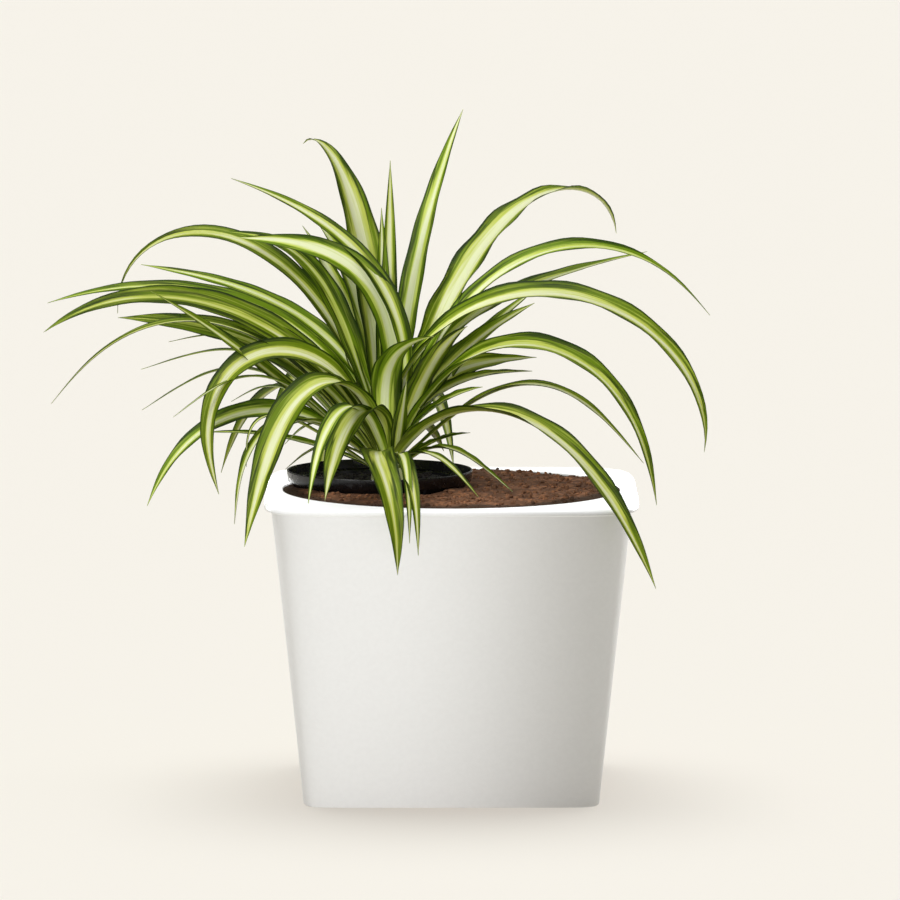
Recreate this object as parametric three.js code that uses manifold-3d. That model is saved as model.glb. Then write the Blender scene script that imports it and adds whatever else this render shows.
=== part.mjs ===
// Potted spider plant: a square tapered planter with a round, soil-filled mouth, a round nursery
// pot let into that soil, and the plant rooted in the nursery pot.
// Millimetres, +Z up. The origin is the middle of the planter's flat base, and its front faces -Y.

import * as THREE from 'three';
import { mergeVertices } from 'three/addons/utils/BufferGeometryUtils.js';
import Module from 'manifold-3d';

const wasm = await Module();
wasm.setup();

// ---------------------------------------------------------------- driving dimensions

const GAP = 0.3;                 // clearance between pieces that touch
const POT_SIDES = 48;            // flat facets round the nursery pot and whatever fits it

// Planter. "Half" values are half the width across its flat sides.
const PLANTER_HEIGHT = 204;
const RIM_HALF = 126;
const LIP_HEIGHT = 4.5;          // the flat band round the top
const BODY_TOP_HALF = 121.5;     // the body just under that band
const BASE_HALF = 99.7;
const RIM_SQUARENESS = 7;        // superellipse exponent of the plan outline: 2 is a circle
const BASE_SQUARENESS = 14;      // the corners grow crisper toward the base
const EDGE = 1.2;                // small chamfer on the outer edges
const MOUTH_R = 115;             // the round opening
const WELL_R = 113;              // the opening's wall, WELL_DEPTH below the rim
const WELL_DEPTH = 16;           // from here the wall narrows evenly down to the floor
const FLOOR_R = 88;
const FLOOR_Z = 8;
const PLANTER_SIDES = 80;        // flat facets round the planter

// Soil in the planter: level with the rim, a little higher round the nursery pot.
const SOIL_EDGE_Z = 202.6;
const SOIL_Z = 205;
const SOIL_SLOPE = 22;           // how far in from the wall the soil reaches its full height
const SOIL_SIDES = 64;           // flat facets round the soil

// Nursery pot, let into the soil off the planter's axis.
const POT_X = -49;
const POT_Y = 16;
const POT_TOP_Z = 215;
const POT_HEIGHT = 112;
const POT_LIP_R = 63.5;
const POT_LIP_HEIGHT = 8;
const POT_NECK_R = 58.4;         // the body just under the lip
const POT_FOOT_R = 44;
const POT_WALL = 1.3;
const POT_FLOOR = 1.9;
const POT_EDGE = 0.6;            // small chamfer on the lip
const POT_HOLES = 6;
const POT_HOLE_R = 5;
const POT_HOLE_RING = 27;

// Potting mix in the nursery pot, with a plain hole for the plant's stock.
const MIX_Z = 207;
const MIX_HOLE_DEPTH = 26;

// The plant's stock: the short upright stem that every leaf grows from.
const CROWN = new THREE.Vector3(-43, 12, MIX_Z);
const STOCK_R = 12;
const STOCK_HEIGHT = 37;
const STOCK_SIDES = 14;

// Leaves: a blade is a four-sided rod, flattened, drawn to a point and bent along its midrib.
const BLADE_STEP = 30;           // length of one straight stretch of a blade
const BLADE_STEPS = [6, 10];     // the fewest and most stretches that its length gives a blade
const BLADE_ROLL = 4.5;          // degrees of roll for which a blade has at least one stretch
const BLADE_THICKNESS = 1.7;     // at the midrib
const BLADE_TIP_WIDTH = 1.4;
const BLADE_TIP_THICKNESS = 0.9;
const BLADE_KEEL = 0.36;         // how far the edges stand above the midrib, per half width
const WIDEST = 0.42;             // where along its length a blade is widest
const ROOT_WIDTH = 0.5;          // width at the root, as a share of the full width
const TAPER = 2;                 // how late a blade narrows to its tip
const SLIVER = 0.05;             // edges shorter than this are dropped where blades cross
const TWIST_OVER = 0.35;         // the share of the length over which a blade takes its roll
const TURN_EASE = 1.5;           // above 1, the bearing turns more toward the tip

// One row for each leaf, angles in degrees:
// bearing (0 is +X, 90 is +Y), distance out from the crown's axis, height above the mix,
// rise at the root, rise at the tip, knee (where half of the bend is done), snap (how sudden the
// bend is), length, width, turn of the bearing along the blade, roll about the midrib.
const LEAVES = [
  // upright leaves of the heart
  [57, 4, 22, 80, 53, 0.60, 1.2, 246, 18, 0, 0],
  [126, 4, 26, 84, -40, 0.91, 1.0, 243, 28, 0, 0],
  [85, 8, 16, 90, 86, 0.50, 1.0, 202, 12, 0, 0],
  [112, 8, 16, 89, 88, 0.50, 1.0, 170, 13, 0, 0],
  [165, 3, 25, 116, 18, 0.40, 1.3, 245, 14, 0, -40],
  [180, 4, 25, 101, 3, 0.54, 1.8, 211, 23, 0, -60],
  [172, 6, 31, 73, 5, 0.71, 2.0, 192, 18, 0, -40],
  [164, 7, 28, 75, -91, 0.72, 1.15, 294, 16, 0, -30],
  [143, 3, 32, 72, 51, 0.60, 1.1, 157, 22, 0, 0],
  [134, 3, 24, 82, 38, 0.65, 1.3, 172, 24, 0, 0],
  [150, 5, 26, 70, 58, 0.50, 1.0, 110, 22, 0, 0],
  [300, 10, 15, 74, 76, 0.50, 1.0, 58, 11, 0, 0],
  [250, 9, 14, 96, 14, 0.62, 1.25, 111, 22, 110, -25],
  // leaves that arch to the left
  [176, 6, 20, 76, -17, 0.42, 1.1, 280, 14, 0, -35],
  [184, 6, 18, 66, -36, 0.58, 1.0, 278, 22, 0, -45],
  [178, 7, 16, 62, 2, 0.42, 1.2, 212, 24, 0, -45],
  [192, 7, 14, 54, -50, 0.60, 1.6, 282, 10, 0, -10],
  [165, 5, 25, 82, 8, 0.33, 1.3, 226, 13, 0, -40],
  [195, 7, 12, 42, 30, 0.70, 1.0, 200, 13, 0, -40],
  [160, 7, 12, 47, -13, 0.68, 2.2, 186, 11, 0, 0],
  [156, 8, 10, 45, -18, 0.58, 2.5, 208, 9, 0, 0],
  [188, 8, 10, 46, -32, 0.60, 2.5, 192, 9, 0, 0],
  [200, 8, 10, 46, -34, 0.62, 2.5, 176, 8, 0, 0],
  [198, 6, 26, 65, -106, 0.53, 1.6, 227, 20, 0, -40],
  [222, 8, 20, 74, -72, 0.35, 2.0, 212, 25, 0, -15],
  [172, 8, 8, 46, -30, 0.72, 2.5, 124, 9, 0, 0],
  [194, 8, 10, 47, -66, 0.52, 1.3, 200, 17, 0, -35],
  [186, 8, 8, 28, -2, 0.50, 1.0, 122, 9, 0, -20],
  [206, 8, 8, 32, -88, 0.74, 3.0, 134, 8, 0, 0],
  [208, 8, 11, 38, -82, 0.54, 2.2, 164, 14, 0, 0],
  [213, 8, 11, 42, -82, 0.50, 2.2, 164, 10, 0, 0],
  // leaves that hang over the front
  [250, 9, 18, 94, -61, 0.30, 1.06, 153, 23, 0, 0],
  [251, 7, 17, 52, -66, 0.52, 1.2, 190, 14, 0, 0],
  [261, 7, 20, 8, -88, 0.68, 2.0, 194, 23, 44, 0],
  [274, 7, 14, 12, -84, 0.70, 2.0, 180, 12, 14, 0],
  [276, 8, 12, 14, -84, 0.71, 2.2, 172, 9, 0, 0],
  [198, 8, 12, 50, -44, 0.62, 2.0, 82, 8, 0, 0],
  [205, 8, 12, 34, -36, 0.52, 1.8, 76, 6, 0, 0],
  // leaves that arch to the right
  [347, 4, 32, 100, -100, 0.49, 0.8, 331, 25, 0, 25],
  [16, 5, 24, 80, 12, 0.32, 1.5, 238, 19, 0, 15],
  [10, 4, 26, 71, -50, 0.60, 1.4, 304, 18, 0, 20],
  [33, 6, 29, 68, -80, 0.82, 1.25, 284, 28, 0, 5],
  [340, 6, 20, 66, -80, 0.49, 1.4, 282, 22, 0, 20],
  [319, 8, 16, 50, -61, 0.37, 1.15, 284, 26, 0, 0],
  [348, 7, 13, 42, -48, 0.55, 2.2, 206, 12, 0, 10],
  [355, 5, 31, 50, 3, 0.49, 1.6, 108, 16, 0, 15],
  [20, 6, 20, 66, 2, 0.45, 2.0, 130, 20, 0, 30],
  [25, 5, 22, 56, 32, 0.55, 1.0, 150, 15, 0, 25],
  [8, 5, 22, 64, 28, 0.50, 1.2, 140, 20, 0, 30],
  [335, 8, 8, 48, 8, 0.50, 1.2, 62, 13, 0, 0],
  [325, 8, 8, 40, -32, 0.37, 2.1, 106, 10, 0, 0],
  [305, 5, 17, 14, -30, 0.46, 2.0, 107, 8, 0, 0],
  [340, 8, 19, 77, 26, 0.79, 0.8, 104, 21, 0, -35],
  [340, 8, 23, 67, 12, 0.41, 0.85, 77, 14, 0, 20],
  // leaves at the back
  [100, 5, 24, 66, -66, 0.58, 1.4, 250, 18, 0, 0],
  [90, 6, 20, 58, -72, 0.52, 1.4, 235, 17, 0, 0],
  [118, 6, 18, 54, -60, 0.50, 1.4, 225, 16, 0, 0],
  [74, 7, 14, 46, -62, 0.50, 1.5, 195, 14, 0, 0],
  [94, 7, 12, 42, -80, 0.52, 1.6, 200, 18, 0, 0],
  [110, 8, 8, 34, -70, 0.55, 1.8, 180, 12, 0, 0],
  [132, 7, 12, 46, -64, 0.52, 1.5, 215, 15, 0, 0],
  [68, 7, 12, 38, -40, 0.50, 1.6, 105, 12, 0, 0],
  [86, 8, 8, 30, -30, 0.50, 1.5, 120, 10, 0, 0],
];

// ---------------------------------------------------------------- helpers

// A solid of revolution about +Z from [radius, height] points.
function turned(points, segments) {
  const profile = points.map(([radius, height]) => new THREE.Vector2(radius, height));
  return new THREE.LatheGeometry(profile, segments).rotateX(Math.PI / 2);
}

// A closed geometry as a solid that can be joined and cut.
function toSolid(geometry) {
  const plain = geometry.clone();
  plain.deleteAttribute('normal');
  plain.deleteAttribute('uv');
  const merged = mergeVertices(plain, 1e-4);
  const index = merged.index.array;
  const corners = [];
  for (let i = 0; i < index.length; i += 3) {
    const [a, b, c] = [index[i], index[i + 1], index[i + 2]];
    if (a !== b && b !== c && c !== a) corners.push(a, b, c);
  }
  return new wasm.Manifold(new wasm.Mesh({
    numProp: 3,
    vertProperties: Float32Array.from(merged.attributes.position.array),
    triVerts: Uint32Array.from(corners),
  }));
}

// A solid back as a geometry.
function toGeometry(solid) {
  const mesh = solid.getMesh();
  const geometry = new THREE.BufferGeometry();
  geometry.setAttribute('position', new THREE.Float32BufferAttribute(mesh.vertProperties, 3));
  geometry.setIndex(new THREE.BufferAttribute(mesh.triVerts, 1));
  geometry.computeVertexNormals();
  return geometry;
}

function node(name, geometry, color, roughness) {
  const mesh = new THREE.Mesh(geometry, new THREE.MeshStandardMaterial({ color, roughness, metalness: 0 }));
  mesh.name = name;
  return mesh;
}

// ---------------------------------------------------------------- planter

// The profile is turned round, and then its outer points are pushed out from the circle to a
// superellipse, so the outside is square with soft corners and the mouth stays round. The
// superellipse's exponent goes evenly from the base's to the rim's with the height.
function planterGeometry() {
  const lipZ = PLANTER_HEIGHT - LIP_HEIGHT;
  const outside = [
    [0, 0],
    [BASE_HALF - EDGE, 0],
    [BASE_HALF, EDGE],
    [BODY_TOP_HALF, lipZ],
    [RIM_HALF - EDGE, lipZ],
    [RIM_HALF, lipZ + EDGE],
    [RIM_HALF, PLANTER_HEIGHT - EDGE],
    [RIM_HALF - EDGE, PLANTER_HEIGHT],
  ];
  const inside = [
    [MOUTH_R + EDGE, PLANTER_HEIGHT],
    [MOUTH_R, PLANTER_HEIGHT - EDGE],
    [WELL_R, PLANTER_HEIGHT - WELL_DEPTH],
    [FLOOR_R, FLOOR_Z],
    [0, FLOOR_Z],
  ];
  const profile = [...outside, ...inside];
  const geometry = turned(profile, PLANTER_SIDES);
  const position = geometry.attributes.position;
  for (let i = 0; i < position.count; i += 1) {
    if (i % profile.length >= outside.length) continue;
    const [x, y] = [position.getX(i), position.getY(i)];
    const radius = Math.hypot(x, y);
    if (radius === 0) continue;
    const n = THREE.MathUtils.lerp(BASE_SQUARENESS, RIM_SQUARENESS, position.getZ(i) / PLANTER_HEIGHT);
    const square = (Math.abs(x / radius) ** n + Math.abs(y / radius) ** n) ** (-1 / n);
    position.setXY(i, x * square, y * square);
  }
  return geometry;
}

// ---------------------------------------------------------------- nursery pot

const potFootZ = POT_TOP_Z - POT_HEIGHT;
const potLipZ = POT_TOP_Z - POT_LIP_HEIGHT;

function nurseryPotGeometry() {
  const shell = turned([
    [0, potFootZ],
    [POT_FOOT_R - 1, potFootZ],
    [POT_FOOT_R, potFootZ + 1],
    [POT_NECK_R, potLipZ],
    [POT_LIP_R - 1, potLipZ + POT_EDGE],
    [POT_LIP_R, POT_TOP_Z - POT_EDGE],
    [POT_LIP_R - POT_EDGE, POT_TOP_Z],
    [POT_LIP_R - POT_WALL, POT_TOP_Z],
    [POT_LIP_R - 1 - POT_WALL, potLipZ + POT_EDGE + POT_WALL],
    [POT_NECK_R - POT_WALL, potLipZ + POT_WALL - 0.2],
    [POT_FOOT_R - POT_WALL, potFootZ + POT_FLOOR],
    [0, potFootZ + POT_FLOOR],
  ], POT_SIDES).translate(POT_X, POT_Y, 0);
  let pot = toSolid(shell);
  for (let i = 0; i < POT_HOLES; i += 1) {
    const angle = 2 * Math.PI * i / POT_HOLES;
    const hole = new THREE.CylinderGeometry(POT_HOLE_R, POT_HOLE_R, 8, 12).rotateX(Math.PI / 2);
    hole.translate(POT_X + POT_HOLE_RING * Math.cos(angle), POT_Y + POT_HOLE_RING * Math.sin(angle), potFootZ);
    pot = pot.subtract(toSolid(hole));
  }
  return toGeometry(pot);
}

// ---------------------------------------------------------------- soil and potting mix

// The planter's soil follows its inner wall, and is cut out round the nursery pot's body.
function soilGeometry() {
  const wallRise = PLANTER_HEIGHT - WELL_DEPTH - FLOOR_Z;
  const bed = turned([
    [0, FLOOR_Z + GAP],
    [FLOOR_R - GAP, FLOOR_Z + GAP],
    [FLOOR_R - GAP + (WELL_R - FLOOR_R) * (wallRise - GAP) / wallRise, PLANTER_HEIGHT - WELL_DEPTH],
    [MOUTH_R - GAP - 0.2, SOIL_EDGE_Z],
    [MOUTH_R - SOIL_SLOPE / 2, SOIL_EDGE_Z + 0.75 * (SOIL_Z - SOIL_EDGE_Z)],
    [MOUTH_R - SOIL_SLOPE, SOIL_Z],
    [0, SOIL_Z],
  ], SOIL_SIDES);
  const recess = turned([
    [0, potFootZ - GAP],
    [POT_FOOT_R + GAP, potFootZ - GAP],
    [POT_NECK_R + GAP, potLipZ],
    [POT_NECK_R + GAP, POT_TOP_Z],
    [0, POT_TOP_Z],
  ], POT_SIDES).translate(POT_X, POT_Y, 0);
  return toGeometry(toSolid(bed).subtract(toSolid(recess)));
}

function mixGeometry() {
  const floorZ = potFootZ + POT_FLOOR + GAP;
  const fill = turned([
    [0, floorZ],
    [POT_FOOT_R - POT_WALL - GAP, floorZ],
    [POT_NECK_R - POT_WALL - GAP - 0.2, MIX_Z - 1.5],
    [POT_NECK_R - 8, MIX_Z],
    [0, MIX_Z],
  ], POT_SIDES).translate(POT_X, POT_Y, 0);
  const hole = new THREE.CylinderGeometry(STOCK_R + GAP, STOCK_R + GAP, 2 * MIX_HOLE_DEPTH, 24).rotateX(Math.PI / 2);
  hole.translate(CROWN.x, CROWN.y, MIX_Z);
  return toGeometry(toSolid(fill).subtract(toSolid(hole)));
}

// ---------------------------------------------------------------- plant

// The straight stretches of a blade: more for a long one, and for one that rolls far.
function bladeSteps([, , , , , , , length, , , roll]) {
  const byLength = THREE.MathUtils.clamp(Math.round(length / BLADE_STEP), ...BLADE_STEPS);
  return Math.max(byLength, Math.round(Math.abs(roll) / BLADE_ROLL));
}

// The midrib starts inside the stock and is followed in short steps. Its rise goes from the
// root's to the tip's along an S-curve that is half done at the knee.
function midrib(leaf) {
  const [bearing, out, high, riseRoot, riseTip, knee, snap, length, , turn] = leaf;
  const heading = THREE.MathUtils.degToRad(bearing);
  const rise = (s) => {
    const done = s ** snap;
    const left = (knee * (1 - s) / (1 - knee)) ** snap;
    return THREE.MathUtils.degToRad(riseRoot + (riseTip - riseRoot) * done / (done + left));
  };
  const bearingAt = (s) => heading + THREE.MathUtils.degToRad(turn) * s ** TURN_EASE;
  const steps = 2 * bladeSteps(leaf);
  const point = CROWN.clone().add(new THREE.Vector3(out * Math.cos(heading), out * Math.sin(heading), high));
  const points = [point.clone()];
  for (let i = 0; i < steps; i += 1) {
    const s = (i + 0.5) / steps;
    const [r, h] = [rise(s), bearingAt(s)];
    point.addScaledVector(new THREE.Vector3(Math.cos(h) * Math.cos(r), Math.sin(h) * Math.cos(r), Math.sin(r)),
      length / steps);
    points.push(point.clone());
  }
  return { points: points.filter((_, i) => i % 2 === 0), rise, bearingAt };
}

// Narrow at the root, widest before the middle, then drawn out to a long point.
function bladeWidth(s, width) {
  const grow = ROOT_WIDTH + (1 - ROOT_WIDTH) * Math.sin(Math.PI / 2 * Math.min(s / WIDEST, 1));
  const taper = 1 - Math.max((s - WIDEST) / (1 - WIDEST), 0) ** TAPER;
  return Math.max(width * grow * taper, BLADE_TIP_WIDTH);
}

// The rod's corners are its two edges (across = -1 and 1) and the midrib's two faces.
function bladeGeometry(leaf) {
  const [width, roll] = [leaf[8], THREE.MathUtils.degToRad(leaf[10])];
  const { points, rise, bearingAt } = midrib(leaf);
  const steps = bladeSteps(leaf);
  const geometry = new THREE.CylinderGeometry(1, 1, 1, 4, steps);
  const position = geometry.attributes.position;
  for (let i = 0; i < position.count; i += 1) {
    const across = position.getX(i);
    const through = position.getZ(i);
    const s = 0.5 - position.getY(i);
    const [r, h] = [rise(s), bearingAt(s)];
    const up = new THREE.Vector3(-Math.cos(h) * Math.sin(r), -Math.sin(h) * Math.sin(r), Math.cos(r));
    const side = new THREE.Vector3(-Math.sin(h), Math.cos(h), 0);
    const along = new THREE.Vector3().crossVectors(side, up);
    const turned = roll * Math.min(s / TWIST_OVER, 1);
    up.applyAxisAngle(along, turned);
    side.applyAxisAngle(along, turned);
    const half = bladeWidth(s, width) / 2;
    const thick = THREE.MathUtils.lerp(BLADE_THICKNESS, BLADE_TIP_THICKNESS, s);
    const place = points[Math.round(s * steps)].clone();
    place.addScaledVector(side, across * half);
    place.addScaledVector(up, Math.abs(across) * half * BLADE_KEEL + through * thick / 2);
    position.setXYZ(i, place.x, place.y, place.z);
  }
  return geometry;
}

function plantGeometry() {
  const stock = turned([
    [0, GAP - MIX_HOLE_DEPTH],
    [STOCK_R - 3, GAP - MIX_HOLE_DEPTH],
    [STOCK_R, -6],
    [STOCK_R, 2],
    [STOCK_R - 1.5, 12],
    [STOCK_R - 3.5, 22],
    [STOCK_R - 6, 31],
    [STOCK_R - 9, STOCK_HEIGHT - 1],
    [0, STOCK_HEIGHT],
  ], STOCK_SIDES).translate(CROWN.x, CROWN.y, CROWN.z);
  const plant = LEAVES.reduce((grown, leaf) => grown.add(toSolid(bladeGeometry(leaf))), toSolid(stock));
  // The outer shell is kept alone, so small hollows that the crossing blades enclose are filled.
  const [outer] = plant.simplify(SLIVER).decompose().sort((a, b) => b.volume() - a.volume());
  return toGeometry(outer);
}

// ---------------------------------------------------------------- the object

const pottedSpiderPlant = new THREE.Group();
pottedSpiderPlant.add(
  node('planter', planterGeometry(), 0xf3f2ee, 0.45),
  node('soil_bed', soilGeometry(), 0x5d422f, 0.95),
  node('nursery_pot', nurseryPotGeometry(), 0x17171a, 0.3),
  node('potting_mix', mixGeometry(), 0x1d1713, 0.95),
  node('spider_plant', plantGeometry(), 0x8fa64a, 0.5),
);

export default pottedSpiderPlant;
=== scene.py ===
"""Potted spider plant: the finished surfaces, materials and studio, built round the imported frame.

Every size here is in millimetres and every angle in degrees, in the frame of the solids: +Z up, the
origin in the middle of the planter's base and the planter's front facing -Y. Meshes are written in
metres, which is what Blender reads.
"""

import logging
import math
from dataclasses import dataclass, field
from enum import Enum

import bpy
import numpy as np
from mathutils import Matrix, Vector


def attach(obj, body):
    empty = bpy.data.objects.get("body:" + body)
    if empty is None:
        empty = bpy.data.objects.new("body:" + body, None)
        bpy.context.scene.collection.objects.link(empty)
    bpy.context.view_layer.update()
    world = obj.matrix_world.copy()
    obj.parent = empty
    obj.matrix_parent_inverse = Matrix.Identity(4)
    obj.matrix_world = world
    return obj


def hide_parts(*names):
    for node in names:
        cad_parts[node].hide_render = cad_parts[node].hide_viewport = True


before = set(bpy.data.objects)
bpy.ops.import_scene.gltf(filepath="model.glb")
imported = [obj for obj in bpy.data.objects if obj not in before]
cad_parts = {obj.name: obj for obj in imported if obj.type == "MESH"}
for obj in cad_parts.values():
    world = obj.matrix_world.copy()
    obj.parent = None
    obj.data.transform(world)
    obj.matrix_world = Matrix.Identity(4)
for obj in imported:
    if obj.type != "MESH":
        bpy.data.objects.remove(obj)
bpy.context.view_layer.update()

Item = bpy.types.Object  # a piece, a lamp, the floor or the camera
Tree = bpy.types.NodeTree
Socket = bpy.types.NodeSocket
Value = float | Socket  # a number, or the socket that gives it
Colour = str | Socket  # a hex colour, or the socket that gives it
Point = tuple[float, float, float]

LOG = logging.getLogger("potted_spider_plant")

MM = 0.001
BODY = "root"
GAP = 0.3  # clearance between pieces that touch
EDGE_GAP = GAP + 0.2  # the same where an uneven surface meets a wall


# ---- mesh helpers


def add_object(name: str, data: bpy.types.ID) -> Item:
    """Adds an object to the scene.

    Args:
        name: Its name.
        data: Its mesh, lamp or camera.

    Returns:
        The object.
    """
    thing = bpy.data.objects.new(name, data)
    bpy.context.scene.collection.objects.link(thing)
    return thing


@dataclass
class Skin:
    """A mesh in the making: points, faces and the values that each point carries."""

    points: np.ndarray
    faces: list[list[int]]
    values: dict[str, np.ndarray] = field(default_factory=dict)

    def mesh_object(self, name: str, material: bpy.types.Material | None, sharp: float) -> Item:
        """Writes the skin as a mesh object at the origin.

        Args:
            name: The piece's name.
            material: Its material; None for a tool that isn't seen.
            sharp: Edges that turn by more than this stay sharp.

        Returns:
            The new object, riding on the object's one body.
        """
        mesh = bpy.data.meshes.new(name)
        mesh.from_pydata((self.points * MM).tolist(), [], self.faces)
        for key, values in self.values.items():
            layer = mesh.attributes.new(key, "FLOAT_VECTOR", "POINT")
            layer.data.foreach_set("vector", values.astype(np.float32).ravel())
        if material:
            mesh.materials.append(material)
        mesh.shade_smooth()
        mesh.set_sharp_from_angle(angle=math.radians(sharp))
        mesh.validate()
        piece = add_object(name, mesh)
        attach(piece, BODY)
        return piece


def joined(skins: list[Skin]) -> Skin:
    """Several skins as one, their faces numbered anew.

    Args:
        skins: The skins, which carry values of the same names.

    Returns:
        The whole.
    """
    starts = np.cumsum([0] + [len(skin.points) for skin in skins[:-1]]).tolist()
    faces = []
    for start, skin in zip(starts, skins):
        faces += [[corner + start for corner in face] for face in skin.faces]
    values = {key: np.vstack([skin.values[key] for skin in skins]) for key in skins[0].values}
    return Skin(np.vstack([skin.points for skin in skins]), faces, values)


def circle(count: int) -> np.ndarray:
    """Points evenly round the unit circle, counter-clockwise from +X, shaped (count, 2)."""
    angle = np.linspace(0, 2 * math.pi, count, endpoint=False)
    return np.stack([np.cos(angle), np.sin(angle)], -1)


def turned(reach: np.ndarray, height: np.ndarray, way: np.ndarray) -> np.ndarray:
    """Rings of points about the upright axis.

    Args:
        reach: Distance from the axis, shaped (rings, 1) or (rings, around).
        height: Height of each ring, shaped (rings, 1).
        way: The unit circle's points, shaped (around, 2).

    Returns:
        Points, shaped (rings, around, 3).
    """
    flat = reach[..., None] * way
    return np.dstack([flat, np.broadcast_to(height, flat.shape[:2])])


def level(flat: np.ndarray, z: float) -> np.ndarray:
    """One ring of points at one height, shaped (1, around, 3)."""
    return np.column_stack([flat, np.full(len(flat), z)])[None]


def ring_faces(rings: int, around: int) -> np.ndarray:
    """Quads between neighbouring rings of points.

    Args:
        rings: Number of rings, numbered along the surface.
        around: Points in each ring, which closes on itself.

    Returns:
        Corner numbers, four to a face, facing out where rings run counter-clockwise up the surface.
    """
    ring, step = np.meshgrid(np.arange(rings - 1), np.arange(around), indexing="ij")
    following = (step + 1) % around
    low, high = ring * around, (ring + 1) * around
    return np.stack([low + step, low + following, high + following, high + step], -1).reshape(-1, 4)


def closed_skin(rings: np.ndarray, first: np.ndarray, last: np.ndarray) -> Skin:
    """A closed surface through a stack of rings, with a fan of triangles at each end.

    Args:
        rings: Points, shaped (rings, around, 3).
        first: The pole before the first ring.
        last: The pole after the last ring.

    Returns:
        The skin, whose last two points are the poles.
    """
    count, around = rings.shape[:2]
    points = np.vstack([rings.reshape(-1, 3), first, last])
    step = np.arange(around)
    following = (step + 1) % around
    start, end = count * around, count * around + 1
    top = (count - 1) * around
    faces = ring_faces(count, around).tolist()
    faces += np.stack([np.full(around, start), following, step], -1).tolist()
    faces += np.stack([np.full(around, end), top + step, top + following], -1).tolist()
    return Skin(points, faces)


def rounded(corners: list[Point], steps: int = 5) -> np.ndarray:
    """An outline whose corners are rounded by arcs.

    Each arc leaves its two straight sides where a circle of that radius touches them; it is drawn
    as the quadratic curve between those points with the corner as its handle.

    Args:
        corners: (across, height, radius) of each corner, in order; a radius of 0 stays sharp.
        steps: Segments in each arc.

    Returns:
        The outline's points, shaped (n, 2).
    """
    places = np.array([(a, h) for a, h, _ in corners], float)
    outline = []
    t = np.linspace(0, 1, steps + 1)[:, None]
    for i, (_, _, radius) in enumerate(corners):
        here = places[i]
        if radius == 0 or i in (0, len(corners) - 1):
            outline.append(here[None])
            continue
        before, after = places[i - 1] - here, places[i + 1] - here
        before /= np.linalg.norm(before)
        after /= np.linalg.norm(after)
        half = math.acos(float(np.clip(before @ after, -1, 1))) / 2
        reach = radius / math.tan(half)
        start, end = here + before * reach, here + after * reach
        outline.append((1 - t) ** 2 * start + 2 * t * (1 - t) * here + t ** 2 * end)
    return np.vstack(outline)


def lattice(x: np.ndarray, y: np.ndarray, seed: float) -> np.ndarray:
    """Smooth value noise: a random height at each whole-number point, blended between them.

    Args:
        x: First coordinate, in cells.
        y: Second coordinate, in cells.
        seed: Which pattern.

    Returns:
        Heights from -1 to 1.
    """
    cell_x, cell_y = np.floor(x), np.floor(y)
    part_x, part_y = x - cell_x, y - cell_y
    blend_x = part_x * part_x * (3 - 2 * part_x)
    blend_y = part_y * part_y * (3 - 2 * part_y)

    def height(i: np.ndarray, j: np.ndarray) -> np.ndarray:
        """The random height of one lattice point."""
        spread = np.sin(i * 127.1 + j * 311.7 + seed * 74.7) * 43758.5453
        return 2 * (spread - np.floor(spread)) - 1

    low = height(cell_x, cell_y) * (1 - blend_x) + height(cell_x + 1, cell_y) * blend_x
    high = height(cell_x, cell_y + 1) * (1 - blend_x) + height(cell_x + 1, cell_y + 1) * blend_x
    return low * (1 - blend_y) + high * blend_y


def rough(x: np.ndarray, y: np.ndarray, size: float, seed: float, octaves: int = 4) -> np.ndarray:
    """Value noise at several scales: each octave is half the size and half the height of the last.

    Args:
        x: First coordinate.
        y: Second coordinate.
        size: Width of a cell of the broadest noise.
        seed: Which pattern.
        octaves: How many scales.

    Returns:
        Heights, which lie within 2 of 0.
    """
    total = np.zeros(np.broadcast(x, y).shape)
    for octave in range(octaves):
        total += lattice(x * 2 ** octave / size, y * 2 ** octave / size, seed + octave) / 2 ** octave
    return total


# ---- materials


def linear(code: str) -> tuple[float, float, float, float]:
    """Makes an sRGB colour linear.

    Args:
        code: The colour as # and six hex digits.

    Returns:
        Linear red, green and blue, and an alpha of 1.
    """
    parts = [int(code[i:i + 2], 16) / 255 for i in (1, 3, 5)]
    red, green, blue = (p / 12.92 if p <= 0.04045 else ((p + 0.055) / 1.055) ** 2.4 for p in parts)
    return red, green, blue, 1.0


def add_node(tree: Tree, kind: str, inputs: dict | None = None, **settings: object) -> bpy.types.Node:
    """Adds a node with its settings, and fills or links its inputs.

    Args:
        tree: The material's node tree.
        kind: The node's type.
        inputs: Input name or number to a value, or to the socket that feeds it.
        **settings: The node's own properties.

    Returns:
        The node.
    """
    node = tree.nodes.new(kind)
    for key, value in settings.items():
        setattr(node, key, value)
    for key, value in (inputs or {}).items():
        if isinstance(value, Socket):
            tree.links.new(value, node.inputs[key])
        else:
            node.inputs[key].default_value = value
    return node


MIX_A, MIX_B, MIX_RESULT = 6, 7, 2  # the colour sockets of a Mix node


def mixed(tree: Tree, share: Value, first: Colour, second: Colour) -> Socket:
    """Blends two colours.

    Args:
        tree: The material's node tree.
        share: How much of the second.
        first: One colour.
        second: The other.

    Returns:
        The blended colour's socket.
    """
    first, second = (linear(part) if isinstance(part, str) else part for part in (first, second))
    node = add_node(tree, "ShaderNodeMix", {0: share, MIX_A: first, MIX_B: second}, data_type="RGBA")
    return node.outputs[MIX_RESULT]


def maths(tree: Tree, operation: str, *values: Value) -> Socket:
    """One step of arithmetic, with the values as the node's inputs in order."""
    return add_node(tree, "ShaderNodeMath", dict(enumerate(values)), operation=operation).outputs[0]


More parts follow.
